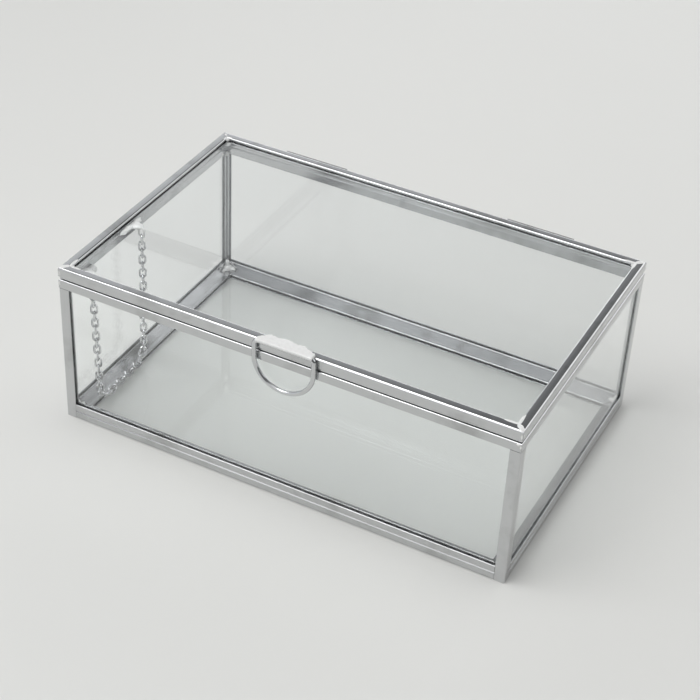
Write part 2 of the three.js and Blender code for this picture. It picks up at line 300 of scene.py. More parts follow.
def float_glass(name, tint):
    """Clear float glass: two flat polished faces, so reflections are doubled and barely rippled.

    Rays from lamps pass straight through the thin panes, less the tenth that two faces reflect.
    """
    ripple_size, ripple_depth = mm(70, 0.03)
    passed_share = 0.9
    material, tree, output = new_material(name)
    place = add_node(tree, "ShaderNodeTexCoord")
    ripple = add_node(tree, "ShaderNodeTexNoise", {"Scale": 1 / ripple_size, "Detail": 1.0},
                      {"Vector": place.outputs["Object"]})
    drawn = add_node(tree, "ShaderNodeBump", {"Strength": 0.15, "Distance": ripple_depth},
                     {"Height": ripple.outputs["Fac"]})
    shader = add_node(tree, "ShaderNodeBsdfPrincipled",
                      {"Base Color": rgba(tint), "Roughness": 0.0, "IOR": 1.52, "Transmission Weight": 1.0},
                      {"Normal": drawn.outputs["Normal"]})
    passed = rgba([passed_share * share for share in tint])
    through = add_node(tree, "ShaderNodeBsdfTransparent", {"Color": passed})
    path = add_node(tree, "ShaderNodeLightPath")
    mixed = add_node(tree, "ShaderNodeMixShader", None,
                     {"Fac": path.outputs["Is Shadow Ray"], 1: shader.outputs["BSDF"],
                      2: through.outputs["BSDF"]})
    tree.links.new(mixed.outputs["Shader"], output.inputs["Surface"])
    return material


def painted_floor(name, colour):
    """Smooth pale paint with a faint eggshell unevenness."""
    patch_size = 180 * MM
    material, tree, output = new_material(name)
    place = add_node(tree, "ShaderNodeTexCoord")
    uneven = add_node(tree, "ShaderNodeTexNoise", {"Scale": 1 / patch_size, "Detail": 3.0},
                      {"Vector": place.outputs["Object"]})
    rough = add_node(tree, "ShaderNodeMapRange", {"To Min": 0.5, "To Max": 0.62},
                     {"Value": uneven.outputs["Fac"]})
    shader = add_node(tree, "ShaderNodeBsdfPrincipled", {"Base Color": rgba(colour)},
                      {"Roughness": rough.outputs["Result"]})
    tree.links.new(shader.outputs["BSDF"], output.inputs["Surface"])
    return material


def finish(name):
    """The named finish, made on first use from the scene's colours."""
    if name in bpy.data.materials:
        return bpy.data.materials[name]
    colours = bpy.context.scene.jewelry_box_colours
    # Finish: its maker, its colours, and for nickel the range of roughness and the size of its cloud
    finishes = {
        "drawn nickel channel": (drawn_nickel, colours.nickel, colours.nickel_worn, 0.1, 0.18),
        "buffed nickel loop": (mirror_nickel, colours.loop, colours.nickel, 0.04, 0.1, 9 * MM),
        "plated hinge nickel": (mirror_nickel, colours.nickel, colours.nickel_worn, 0.14, 0.28, 4 * MM),
        "plated chain wire": (mirror_nickel, colours.chain, colours.loop, 0.08, 0.18, 2 * MM),
        "plated solder": (plated_solder, colours.solder, colours.solder_painted_shade),
        "clear float glass": (float_glass, colours.glass),
        "painted floor": (painted_floor, colours.floor),
    }
    if name not in finishes:
        raise ValueError(f"there is no finish named {name}")
    maker, *values = finishes[name]
    return maker(name, *values)


# Mesh helpers

# Edges that turn by more than this are shaded sharp
SHARP_ANGLE = radians(38)
FOLD_SEGMENTS = 4
BLOCK_EDGE_SEGMENTS = 2
TURNED_STEPS = 28


def keep_piece(name, bm, material, body, slot, *nodes):
    """Makes a bmesh a piece that rides on a body and stands for the nodes."""
    bmesh.ops.recalc_face_normals(bm, faces=bm.faces)
    if any(not edge.is_manifold for edge in bm.edges):
        raise RuntimeError(f"{name} isn't closed")
    mesh = bpy.data.meshes.new(name)
    bm.to_mesh(mesh)
    bm.free()
    mesh.materials.append(finish(material))
    mesh.shade_smooth()
    mesh.set_sharp_from_angle(angle=SHARP_ANGLE)
    piece = bpy.data.objects.new(name, mesh)
    bpy.context.scene.collection.objects.link(piece)
    shading = piece.modifiers.new("Even shading", "WEIGHTED_NORMAL")
    shading.keep_sharp = True
    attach(piece, body)
    if nodes:
        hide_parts(*nodes)


def edges_of(verts):
    """The edges at the given vertices, each once and always in the same order."""
    return list(dict.fromkeys(edge for vert in verts for edge in vert.link_edges))


def rounded_section(bm, section):
    """Faces in the YZ plane from points (inwards, up, rounding), their corners rounded."""
    corners = [bm.verts.new((0, inwards, up)) for inwards, up, _ in section]
    bm.faces.new(corners)
    for rounding in sorted({point[2] for point in section if point[2] > 0}):
        bmesh.ops.bevel(
            bm, geom=[v for v, point in zip(corners, section) if point[2] == rounding and v.is_valid],
            offset=rounding, offset_type="OFFSET", segments=FOLD_SEGMENTS, profile=0.5, affect="VERTICES",
            material=-1)
    return bm.faces[:]


def extruded(section, shift):
    """A bmesh of a rounded section pulled out along X by the given distance."""
    bm = bmesh.new()
    faces = rounded_section(bm, section)
    pulled = bmesh.ops.extrude_face_region(bm, geom=faces)
    moved = [item for item in pulled["geom"] if isinstance(item, bmesh.types.BMVert)]
    bmesh.ops.translate(bm, verts=moved, vec=(shift, 0, 0))
    return bm


def lay_uv(bm, along_axis):
    """A UV map in metres: along the rail, and across it over its folds."""
    layer = bm.loops.layers.uv.new("along")
    across = [axis for axis in range(3) if axis != along_axis]
    for face in bm.faces:
        for loop in face.loops:
            co = loop.vert.co
            loop[layer].uv = (co[along_axis], co[across[0]] + co[across[1]])


def mitred_rail(section, length, square_depth):
    """A rail along X with mitred ends, square where it butts against a post."""
    sizes = bpy.context.scene.jewelry_box_sizes
    bm = extruded(section, 1.0)
    for vert in bm.verts:
        inset = max(vert.co.y, square_depth) + sizes.mitre_gap
        vert.co.x = (vert.co.x - 0.5) * (length - 2 * inset)
    lay_uv(bm, 0)
    return bm


def make_rails(kind, section, body, square_depth=0.0):
    """Four rails of a kind, one on each side, each in its node's place."""
    for side, (length, place) in SIDES.items():
        bm = mitred_rail(section, length, square_depth)
        bmesh.ops.transform(bm, matrix=place, verts=bm.verts)
        keep_piece(f"{side}_{kind}_channel", bm, "drawn nickel channel", body, "channel_metal",
                   f"{kind}_rail_{side}")


def add_block(bm, low, high, rounding):
    """A block between two corners with rounded edges."""
    made = bmesh.ops.create_cube(bm, size=1.0)["verts"]
    bmesh.ops.scale(bm, vec=Vector(high) - Vector(low), verts=made)
    bmesh.ops.translate(bm, vec=(Vector(high) + Vector(low)) / 2, verts=made)
    bmesh.ops.bevel(bm, geom=edges_of(made), offset=rounding, offset_type="OFFSET",
                    segments=BLOCK_EDGE_SEGMENTS, profile=0.5, affect="EDGES", material=-1)


def add_turned(bm, profile, centre):
    """A shape turned about X from a closed profile of (along, radius) points."""
    points = [bm.verts.new((along, radius, 0)) for along, radius in profile]
    edges = [bm.edges.new((a, b)) for a, b in zip(points, points[1:] + points[:1])]
    before = set(bm.verts) - set(points)
    bmesh.ops.spin(bm, geom=points + edges, cent=(0, 0, 0), axis=(1, 0, 0), angle=2 * pi,
                   steps=TURNED_STEPS, use_merge=True)
    made = [vert for vert in bm.verts if vert not in before]
    bmesh.ops.translate(bm, vec=centre, verts=made)


def add_wire_ring(bm, inside_length, width, wire, matrix, steps=16, sides=8):
    """A long ring of round wire: its length along X, its width along Y."""
    before = set(bm.verts)
    section = bmesh.ops.create_circle(bm, segments=sides, radius=wire / 2)["verts"]
    radius = (width - wire) / 2
    half_step = pi / steps
    set_out = Matrix.Rotation(half_step, 4, "Z") @ Matrix.Translation((radius, 0, 0))
    bmesh.ops.transform(bm, matrix=set_out @ Matrix.Rotation(pi / 2, 4, "X"), verts=section)
    bmesh.ops.spin(bm, geom=section + edges_of(section), cent=(0, 0, 0), axis=(0, 0, 1), angle=2 * pi,
                   steps=steps, use_merge=True)
    made = [vert for vert in bm.verts if vert not in before]
    stretch = (inside_length - (width - 2 * wire)) / 2
    for end in (-1, 1):
        bmesh.ops.translate(bm, vec=(end * stretch, 0, 0), verts=[v for v in made if v.co.x * end > 0])
    bmesh.ops.transform(bm, matrix=matrix, verts=made)


def pull_on(bm, end, shift):
    """Carries the open end of a bar straight on and returns its new end."""
    edges = [item for item in end if isinstance(item, bmesh.types.BMEdge)]
    pulled = bmesh.ops.extrude_edge_only(bm, edges=edges)["geom"]
    verts = [item for item in pulled if isinstance(item, bmesh.types.BMVert)]
    bmesh.ops.translate(bm, verts=verts, vec=shift)
    new_edges = [item for item in pulled if isinstance(item, bmesh.types.BMEdge)]
    return verts + [edge for edge in new_edges if set(edge.verts) <= set(verts)]


# Solder lumps: fineness of the ball, waves over it, and how far a seed moves it through the noise
LUMP_FINENESS = 3
LUMP_WAVES = 1.5
LUMP_SEED_X = 3.7
LUMP_SEED_Y = 1.3
LUMP_UNEVENNESS = 0.22


def add_lump(bm, centre, half_sizes, seed, turn=0.0, unevenness=LUMP_UNEVENNESS):
    """A flowed lump of solder: an uneven ball of the given half sizes."""
    made = bmesh.ops.create_icosphere(bm, subdivisions=LUMP_FINENESS, radius=1.0)["verts"]
    for vert in made:
        drift = noise.noise(vert.co * LUMP_WAVES + Vector((seed * LUMP_SEED_X, seed * LUMP_SEED_Y, 0)))
        vert.co *= 1 + unevenness * drift
    shape = Matrix.Translation(centre) @ Matrix.Rotation(turn, 4, "Z") @ Matrix.Diagonal((*half_sizes, 1))
    bmesh.ops.transform(bm, matrix=shape, verts=made)


def solder_bed(low, high):
    """A bmesh of a flowed bed of solder between two corners, ragged behind and narrower at its ends."""
    rounding_share = 0.45
    left_end, left_share = 0.17, 0.35
    right_end, right_share = 0.24, 0.5
    long_edge, long_cuts = 1.5, 60
    cross_edge, cross_cuts = 0.5, 8
    wave_length, wave_depth = mm(4.2, 0.8)
    fleck_length, fleck_depth = mm(0.9, 0.5)
    fleck_row = 7
    swell_length, swell_width, swell_height = mm(3, 2, 0.1)
    swell_layer = 4

    bm = bmesh.new()
    add_block(bm, low, high, rounding_share * (high.z - low.z))
    depth = high.y - low.y
    length = high.x - low.x
    lengthwise = [edge for edge in bm.edges if edge.calc_length() > long_edge * depth]
    bmesh.ops.subdivide_edges(bm, edges=lengthwise, cuts=long_cuts, use_grid_fill=True)
    crosswise = [edge for edge in bm.edges if edge.calc_length() > cross_edge * depth]
    bmesh.ops.subdivide_edges(bm, edges=crosswise, cuts=cross_cuts, use_grid_fill=True)
    for vert in bm.verts:
        behind = (vert.co.y - low.y) / depth
        along = (vert.co.x - low.x) / length
        from_left = left_share + (1 - left_share) * along / left_end
        from_right = right_share + (1 - right_share) * (1 - along) / right_end
        narrowing = depth * (min(1, from_left, from_right) - 1)
        waves = noise.noise(Vector((vert.co.x / wave_length, 0, 0))) * wave_depth
        flecks = noise.noise(Vector((vert.co.x / fleck_length, fleck_row, 0))) * fleck_depth
        swell_place = Vector((vert.co.x / swell_length, vert.co.y / swell_width, swell_layer))
        swell = noise.noise(swell_place) * swell_height
        vert.co += Vector((0, narrowing * behind + (waves + flecks) * behind ** 3, swell))
    return bm


# Operators

class JEWELRYBOX_OT_panes(bpy.types.Operator):
    """Models the six glass panes with seamed edges"""

    bl_idname = "jewelrybox.panes"
    bl_label = "Glass panes"

    def execute(self, context):
        arris = context.scene.jewelry_box_sizes.arris
        panes = {"base": "box", "front": "box", "right": "box", "back": "box", "left": "box", "lid": "lid"}
        for side, body in panes.items():
            bm = bmesh.new()
            add_block(bm, *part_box(f"{side}_glass"), arris)
            keep_piece(f"{side}_pane", bm, "clear float glass", body, "clear_glass", f"{side}_glass")
        return {"FINISHED"}


class JEWELRYBOX_OT_bottom_rails(bpy.types.Operator):
    """Models the bottom rails: a flat channel for the base pane under an upright one for the wall"""

    bl_idname = "jewelrybox.bottom_rails"
    bl_label = "Bottom rails"

    def execute(self, context):
        sizes = context.scene.jewelry_box_sizes
        sheet, lip, fold = sizes.sheet, sizes.lip_round, sizes.fold
        seam = 0.35 * MM
        top = BOTTOM_RAIL_TOP
        section = [
            (0, 0, fold), (LEDGE_REACH, 0, lip), (LEDGE_REACH, sheet, lip), (sheet, sheet, 0),
            (sheet, LEDGE_TOP - sheet, 0), (LEDGE_REACH, LEDGE_TOP - sheet, lip),
            (LEDGE_REACH, LEDGE_TOP, lip), (CHANNEL, LEDGE_TOP, 0), (CHANNEL, top, lip),
            (CHANNEL - sheet, top, lip), (CHANNEL - sheet, LEDGE_TOP + sheet, 0),
            (sheet, LEDGE_TOP + sheet, 0), (sheet, top, lip), (0, top, lip),
            (0, LEDGE_TOP + seam, lip), (seam, LEDGE_TOP, 0), (0, LEDGE_TOP - seam, lip),
        ]
        make_rails("bottom", section, "box", POST_FACE)
        return {"FINISHED"}


class JEWELRYBOX_OT_posts(bpy.types.Operator):
    """Models the corner posts: two channels joined on a diagonal web"""

    bl_idname = "jewelrybox.posts"
    bl_label = "Corner posts"

    def execute(self, context):
        sizes = context.scene.jewelry_box_sizes
        sheet, lip, fold = sizes.sheet, sizes.lip_round, sizes.fold
        web = sheet / 2 ** 0.5
        inner = CHANNEL - sheet
        section = [
            (0, 0, fold), (0, POST_FACE, lip), (sheet, POST_FACE, lip), (sheet, sheet + web, 0),
            (inner, inner + web, 0), (inner, POST_FACE, lip), (CHANNEL, POST_FACE, lip),
            (CHANNEL, CHANNEL, 0), (POST_FACE, CHANNEL, lip), (POST_FACE, inner, lip),
            (inner + web, inner, 0), (sheet + web, sheet, 0), (POST_FACE, sheet, lip), (POST_FACE, 0, lip),
        ]
        stood_up = Matrix(((0, 1, 0, 0), (0, 0, 1, 0), (1, 0, 0, 0), (0, 0, 0, 1)))
        for corner, place in CORNERS.items():
            bm = extruded(section, POST_TOP)
            bmesh.ops.transform(bm, matrix=stood_up, verts=bm.verts)
            lay_uv(bm, 2)
            bmesh.ops.transform(bm, matrix=place, verts=bm.verts)
            keep_piece(f"{corner}_post_channels", bm, "drawn nickel channel", "box", "channel_metal",
                       f"post_{corner}")
        return {"FINISHED"}


class JEWELRYBOX_OT_rim_rails(bpy.types.Operator):
    """Models the rim rails over the top edges of the walls"""

    bl_idname = "jewelrybox.rim_rails"
    bl_label = "Rim rails"

    def execute(self, context):
        sizes = context.scene.jewelry_box_sizes
        sheet, lip, fold = sizes.sheet, sizes.lip_round, sizes.fold
        section = [
            (0, RIM_BOTTOM, lip), (sheet, RIM_BOTTOM, lip), (sheet, RIM_TOP - sheet, 0),
            (CHANNEL - sheet, RIM_TOP - sheet, 0), (CHANNEL - sheet, RIM_BOTTOM, lip),
            (CHANNEL, RIM_BOTTOM, lip), (CHANNEL, RIM_TOP, fold), (0, RIM_TOP, fold),
        ]
        make_rails("rim", section, "box")
        return {"FINISHED"}


class JEWELRYBOX_OT_lid_rails(bpy.types.Operator):
    """Models the lid rails: a channel round the lid pane on a strip that rests on the rim"""

    bl_idname = "jewelrybox.lid_rails"
    bl_label = "Lid rails"

    def execute(self, context):
        sizes = context.scene.jewelry_box_sizes
        lip, top_fold = sizes.lip_round, sizes.lid_fold
        fold, inner_fold = mm(0.35, 0.7)
        inset, strip_height = mm(0.5, 1.1)
        slot_back, pane_fit = mm(1, 0.15)
        pane_low, pane_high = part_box("lid_glass")
        slot_low, slot_high = pane_low.z - pane_fit, pane_high.z + pane_fit
        face_bottom = LID_BOTTOM + strip_height
        width = LID_RAIL_WIDTH
        section = [
            (inset, LID_BOTTOM, fold), (width, LID_BOTTOM, fold), (width, slot_low, lip),
            (slot_back, slot_low, 0), (slot_back, slot_high, 0), (width, slot_high, lip),
            (width, LID_TOP, inner_fold), (0, LID_TOP, top_fold), (0, face_bottom, fold),
            (inset, face_bottom, 0),
        ]
        make_rails("lid", section, "lid")
        return {"FINISHED"}


class JEWELRYBOX_OT_pull_loop(bpy.types.Operator):
    """Models the half-round pull loop: a round bar bent to a half circle, two upper corners and a top"""

    bl_idname = "jewelrybox.pull_loop"
    bl_label = "Pull loop"

    def execute(self, context):
        sizes = context.scene.jewelry_box_sizes
        round_steps, corner_steps, bar_sides = 40, 10, 20
        seam_merge = 0.01 * MM
        low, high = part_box("pull_loop")
        radius = sizes.loop_bar / 2
        corner = sizes.loop_corner + radius
        half = (high.x - low.x) / 2 - radius
        middle_x = (high.x + low.x) / 2
        bar_y = low.y + radius
        round_z = low.z + radius + half
        corner_z = high.z - radius - corner
        rise = Vector((0, 0, corner_z - round_z))
        across = Vector((2 * (corner - half), 0, 0))
        # Bend: its centre, angle and steps, and the straight stretch that follows it
        bends = [
            ((middle_x, round_z), pi, round_steps, rise),
            ((middle_x + half - corner, corner_z), pi / 2, corner_steps, across),
            ((middle_x - half + corner, corner_z), pi / 2, corner_steps, -rise),
        ]
        bm = bmesh.new()
        ring = bmesh.ops.create_circle(bm, segments=bar_sides, radius=radius)["verts"]
        bmesh.ops.translate(bm, verts=ring, vec=(middle_x - half, bar_y, round_z))
        end = ring + edges_of(ring)
        for (x, z), angle, steps, shift in bends:
            bent = bmesh.ops.spin(bm, geom=end, cent=(x, bar_y, z), axis=(0, -1, 0), angle=angle,
                                  steps=steps)
            end = pull_on(bm, bent["geom_last"], shift)
        bmesh.ops.remove_doubles(bm, verts=bm.verts, dist=seam_merge)
        keep_piece("bent_pull_loop", bm, "buffed nickel loop", "lid", "loop_metal", "pull_loop")
        return {"FINISHED"}


# Hinge barrel: radius of its bore, its outside radius and the chamfer at each knuckle's ends
HINGE_BORE, HINGE_BARREL, HINGE_CHAMFER = mm(0.8, 1.5, 0.2)


def add_knuckle(bm, start, end):
    """A knuckle of the hinge barrel between two places along the hinge's axis."""
    shoulder = HINGE_BARREL - HINGE_CHAMFER
    profile = [(start, HINGE_BORE), (start, shoulder), (start + HINGE_CHAMFER, HINGE_BARREL),
               (end - HINGE_CHAMFER, HINGE_BARREL), (end, shoulder), (end, HINGE_BORE)]
    add_turned(bm, profile, (0, HINGE_AXIS.y, HINGE_AXIS.z))


class JEWELRYBOX_OT_hinges(bpy.types.Operator):
    """Models the two barrel hinges: box leaves, lid leaves and pins"""

    bl_idname = "jewelrybox.hinges"
    bl_label = "Barrel hinges"

    def execute(self, context):
        plate, rounding = mm(0.6, 0.15)
        half_knuckle, knuckle_gap = mm(5, 0.2)
        barrel_gap = 0.3 * MM
        shank, head, head_length = mm(0.7, 1.1, 0.5)
        dome, tip = mm(0.35, 0.02)
        overlap = 2 * rounding
        lower_edge = HINGE_AXIS.z - (HINGE_BARREL + barrel_gap)
        upper_edge = HINGE_AXIS.z + (HINGE_BARREL + barrel_gap)
        for side in ("left", "right"):
            low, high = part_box(f"hinge_{side}_box_leaf")
            lid_low, lid_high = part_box(f"hinge_{side}_lid_leaf")
            pin_low, pin_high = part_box(f"hinge_{side}_pin")
            front = low.y
            back = front + plate
            centre = (low.x + high.x) / 2
            middle_start, middle_end = centre - half_knuckle, centre + half_knuckle

            bm = bmesh.new()
            add_block(bm, (low.x, front, low.z), (high.x, back, lower_edge), rounding)
            for start, end in ((low.x, middle_start - knuckle_gap), (middle_end + knuckle_gap, high.x)):
                add_block(bm, (start, front, lower_edge - overlap),
                          (end, back, HINGE_AXIS.z - HINGE_BORE), rounding)
                add_knuckle(bm, start, end)
            keep_piece(f"{side}_hinge_lower_leaf", bm, "plated hinge nickel", "box", "hinge_metal",
                       f"hinge_{side}_box_leaf")

            bm = bmesh.new()
            add_block(bm, (lid_low.x, front, upper_edge), (lid_high.x, back, lid_high.z), rounding)
            add_block(bm, (middle_start, front, HINGE_AXIS.z + HINGE_BORE),
                      (middle_end, back, upper_edge + overlap), rounding)
            add_knuckle(bm, middle_start, middle_end)
            keep_piece(f"{side}_hinge_upper_leaf", bm, "plated hinge nickel", "lid", "hinge_metal",
                       f"hinge_{side}_lid_leaf")

            bm = bmesh.new()
            profile = [(pin_low.x, tip), (pin_low.x, head - dome), (pin_low.x + dome / 2, head),
                       (pin_low.x + head_length, head), (pin_low.x + head_length, shank),
                       (pin_high.x - head_length, shank), (pin_high.x - head_length, head),
                       (pin_high.x - dome / 2, head), (pin_high.x, head - dome), (pin_high.x, tip)]
            add_turned(bm, profile, (0, HINGE_AXIS.y, HINGE_AXIS.z))
            keep_piece(f"{side}_hinge_headed_pin", bm, "plated hinge nickel", "box", "hinge_metal",
                       f"hinge_{side}_pin")
        return {"FINISHED"}


class JEWELRYBOX_OT_stay_chain(bpy.types.Operator):
    """Models the stay chain link by link in its five runs"""

    bl_idname = "jewelrybox.stay_chain"
    bl_label = "Stay chain"

    def execute(self, context):
        sizes = context.scene.jewelry_box_sizes
        strand_links, bend_links, floor_links = 16, 2, 8
        # A run is shorter than its links' pitches, and its first link sits less than half a pitch along
        run_loss, first_back = mm(0.5, 0.7)
        play, slack = mm(0.06, 1.2)
        sway_angle, sway_seed = 9, 11
        drop = PIVOT["chain_rim_eye"].z - PIVOT["chain_front_bend_pivot"].z
        pitch = (drop + run_loss) / strand_links
        first = pitch / 2 - first_back
        inside = pitch + play
        sway = Random(sway_seed)
        along_y = Matrix.Rotation(pi / 2, 4, "Z")
        # Run: node, body, pivot, links, slope, turn about the run, and slack to the inside at its ends
        runs = [
            ("chain_front_strand", "chain_front", "chain_rim_eye", strand_links, -90, -26, 0, 1),
            ("chain_front_bend", "chain_bend_front", "chain_front_bend_pivot", bend_links, -45, -10, 1, 1),
            ("chain_floor_run", "chain_floor", "chain_floor_pivot", floor_links, 0, 45, 1, 0.3),
            ("chain_rear_bend", "chain_bend_rear", "chain_rear_bend_pivot", bend_links, 45, 20, 0.3, 0),
            ("chain_rear_strand", "chain_rear", "chain_lid_eye", strand_links + 1, -90, -40, 0, 0),
        ]
        for node, body, pivot, links, slope, turn, slack_start, slack_end in runs:
            bm = bmesh.new()
            place = Matrix.Translation(PIVOT[pivot]) @ Matrix.Rotation(radians(slope), 4, "X") @ along_y
            for i in range(links):
                upright = 90 if i % 2 == 0 else 0
                tilt = radians(upright + turn + sway.uniform(-sway_angle, sway_angle))
                aside = slack * (slack_start + (slack_end - slack_start) * i / (links - 1))
                link = Matrix.Translation((first + i * pitch, -aside, 0)) @ Matrix.Rotation(tilt, 4, "X")
                add_wire_ring(bm, inside, sizes.link_width, sizes.wire, place @ link)
            keep_piece(f"{node}_links", bm, "plated chain wire", body, "chain_metal", node)
        return {"FINISHED"}


class JEWELRYBOX_OT_chain_eyes(bpy.types.Operator):
    """Models the two rings that hold the chain and the solder that fixes them"""

    bl_idname = "jewelrybox.chain_eyes"
    bl_label = "Chain eyes"

    def execute(self, context):
        sizes = context.scene.jewelry_box_sizes
        ring_drop, ring_turn = 0.5 * MM, 108
        ring_steps, wire_sides = 24, 10
        lump_drop, lump_bite, lump_spare = mm(0.6, 0.3, 0.5)
        lump_half_length, lump_half_height = mm(2.2, 1.2)
        smear_out, smear_spare = mm(1.2, 0.3)
        smear_unevenness = 0.4
        # Eye: node, body, pivot, face of its rail, smears (place along, half length), half height and lift
        eyes = [
            ("chain_eye_rim", "box", "chain_rim_eye", LEFT + CHANNEL,
             [mm(2.4, 3.2), mm(5.4, 2.0)], *mm(1.5, -1.8)),
            ("chain_eye_lid", "lid", "chain_lid_eye", LEFT + LID_RAIL_WIDTH,
             [mm(-4.6, 4.4), mm(2.8, 2.4)], *mm(1.0, 0.3)),
        ]
        for seed, (node, body, pivot, face, smears, half_height, lift) in enumerate(eyes):
            low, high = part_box(node)
            centre = PIVOT[pivot]
            ring_top = high.z - ring_drop
            ring_width = 2 * (high.x - centre.x)
            inside = ring_top - low.z - 2 * sizes.eye_wire
            bm = bmesh.new()
            hang = Matrix.Translation((centre.x, centre.y, (ring_top + low.z) / 2))
            turned = hang @ Matrix.Rotation(pi / 2, 4, "Y") @ Matrix.Rotation(radians(ring_turn), 4, "X")
            add_wire_ring(bm, inside, ring_width, sizes.eye_wire, turned, ring_steps, wire_sides)
            reach = (centre.x - face) / 2 + lump_spare
            lump = Vector((face + reach - lump_bite, centre.y, ring_top - lump_drop))
            add_lump(bm, lump, (reach, lump_half_length, lump_half_height), seed)
            for along, half_length in smears:
                smear = Vector((face + smear_out, lump.y + along, lump.z + lift))
                half_sizes = (half_height + smear_spare, half_length, half_height)
                add_lump(bm, smear, half_sizes, seed + half_length / MM, 0.0, smear_unevenness)
            keep_piece(f"{node}_ring", bm, "plated solder", body, "solder", node)
        return {"FINISHED"}


# Solder at each corner: its lump on the ledge in millimetres, and its share of the usual size on the lid
LEDGE_LUMP = {"front_left": 1.8, "front_right": 1.3, "back_right": 1.5, "back_left": 2.2}
LID_SOLDER_SHARE = {"front_left": 0.9, "front_right": 1.0, "back_right": 0.9, "back_left": 0.45}

# Arms of a ledge lump along the two rails and up the post: direction, and half sizes in lump sizes
LEDGE_LUMP_ARMS = {(1, 0, 0): (1.3, 0.55, 0.4), (0, 1, 0): (0.55, 1.3, 0.4), (0, 0, 1): (0.5, 0.5, 1.3)}

# First seeds of the lumps, apart so that no two of a corner have the same outline
SEED_MITRE, SEED_LID_EDGE, SEED_RIM_EDGE, SEED_LEDGE = 0, 4, 8, 12
SEED_UNDER_RIM, SEED_PANE, SEED_ARMS, SEED_SMEARS = 16, 20, 24, 30
SEED_KNOB, SEED_UNDER_PANE = 41, 43


def add_lid_solder(bm, corner_point, inwards, diagonal, seed, share):
    """Solder at a corner of the lid: in the mitre, along the inner edges, on the pane and down the edge."""
    mitre_unevenness, smear_unevenness, edge_unevenness = 0.35, 0.3, 0.1
    face_sink, mitre_shift, edge_inset = mm(0.05, 0.2, 0.55)
    mitre_sizes, mitre_thickness = mm(2.4, 1.1), 0.18 * MM
    smear_sizes, smear_thickness, smear_shift = mm(3.3, 0.6), 0.15 * MM, 2.6 * MM
    pane_drop, edge_depth = mm(1.0, 0.7)
    pane_sizes, edge_sizes = mm(1.1, 1.5, 0.8), mm(0.8, 0.8, 2.2)

    lid_face = Vector((0, 0, LID_TOP - face_sink))
    mitre = corner_point + inwards * (LID_RAIL_WIDTH / 2 + mitre_shift) + lid_face
    half_sizes = (*[size * share for size in mitre_sizes], mitre_thickness)
    add_lump(bm, mitre, half_sizes, seed + SEED_MITRE, diagonal, mitre_unevenness)
    inner_edge = corner_point + inwards * (LID_RAIL_WIDTH - edge_inset) + lid_face
    half_sizes = (*[size * share for size in smear_sizes], smear_thickness)
    for step, turn in ((Vector((inwards.x, 0, 0)), 0), (Vector((0, inwards.y, 0)), pi / 2)):
        smear = inner_edge + step * smear_shift * share
        add_lump(bm, smear, half_sizes, seed + SEED_SMEARS, turn, smear_unevenness)
    pane_corner = corner_point + inwards * LID_RAIL_WIDTH + Vector((0, 0, LID_TOP - pane_drop))
    add_lump(bm, pane_corner, pane_sizes, seed + SEED_PANE, diagonal)
    edge = corner_point + inwards * edge_depth + Vector((0, 0, (LID_BOTTOM + LID_TOP) / 2))
    add_lump(bm, edge, edge_sizes, seed + SEED_LID_EDGE, diagonal, edge_unevenness)


def add_box_solder(bm, corner_point, inwards, diagonal, seed, lump):
    """Solder at a corner of the box: down the rim's edge, on the ledge with its arms, and under the rim."""
    edge_unevenness = 0.1
    edge_depth, edge_drop = mm(0.5, 1.6)
    under_shift, under_lift = mm(0.5, 0.2)
    edge_sizes, under_sizes = mm(0.6, 0.6, 1.5), mm(1.0, 1.0, 1.2)
    # In lump sizes: its lift, its place inwards and its height, and the place and reach of its arms
    lift, shift, height, arm_shift, arm_reach = 0.2, 0.45, 0.7, 0.3, 0.7

    edge = corner_point + inwards * edge_depth + Vector((0, 0, RIM_TOP - edge_drop))
    add_lump(bm, edge, edge_sizes, seed + SEED_RIM_EDGE, diagonal, edge_unevenness)
    on_ledge = corner_point + Vector((0, 0, LEDGE_TOP + lift * lump))
    inside = on_ledge + inwards * (CHANNEL + shift * lump)
    add_lump(bm, inside, (lump, lump, height * lump), seed + SEED_LEDGE, diagonal)
    foot = on_ledge + inwards * (CHANNEL + arm_shift * lump)
    for arm, half_sizes in LEDGE_LUMP_ARMS.items():
        step = Vector((arm[0] * inwards.x, arm[1] * inwards.y, arm[2])) * arm_reach * lump
        add_lump(bm, foot + step, [size * lump for size in half_sizes], seed + SEED_ARMS)
    under = corner_point + inwards * (CHANNEL + under_shift) + Vector((0, 0, RIM_BOTTOM + under_lift))
    add_lump(bm, under, under_sizes, seed + SEED_UNDER_RIM, diagonal)


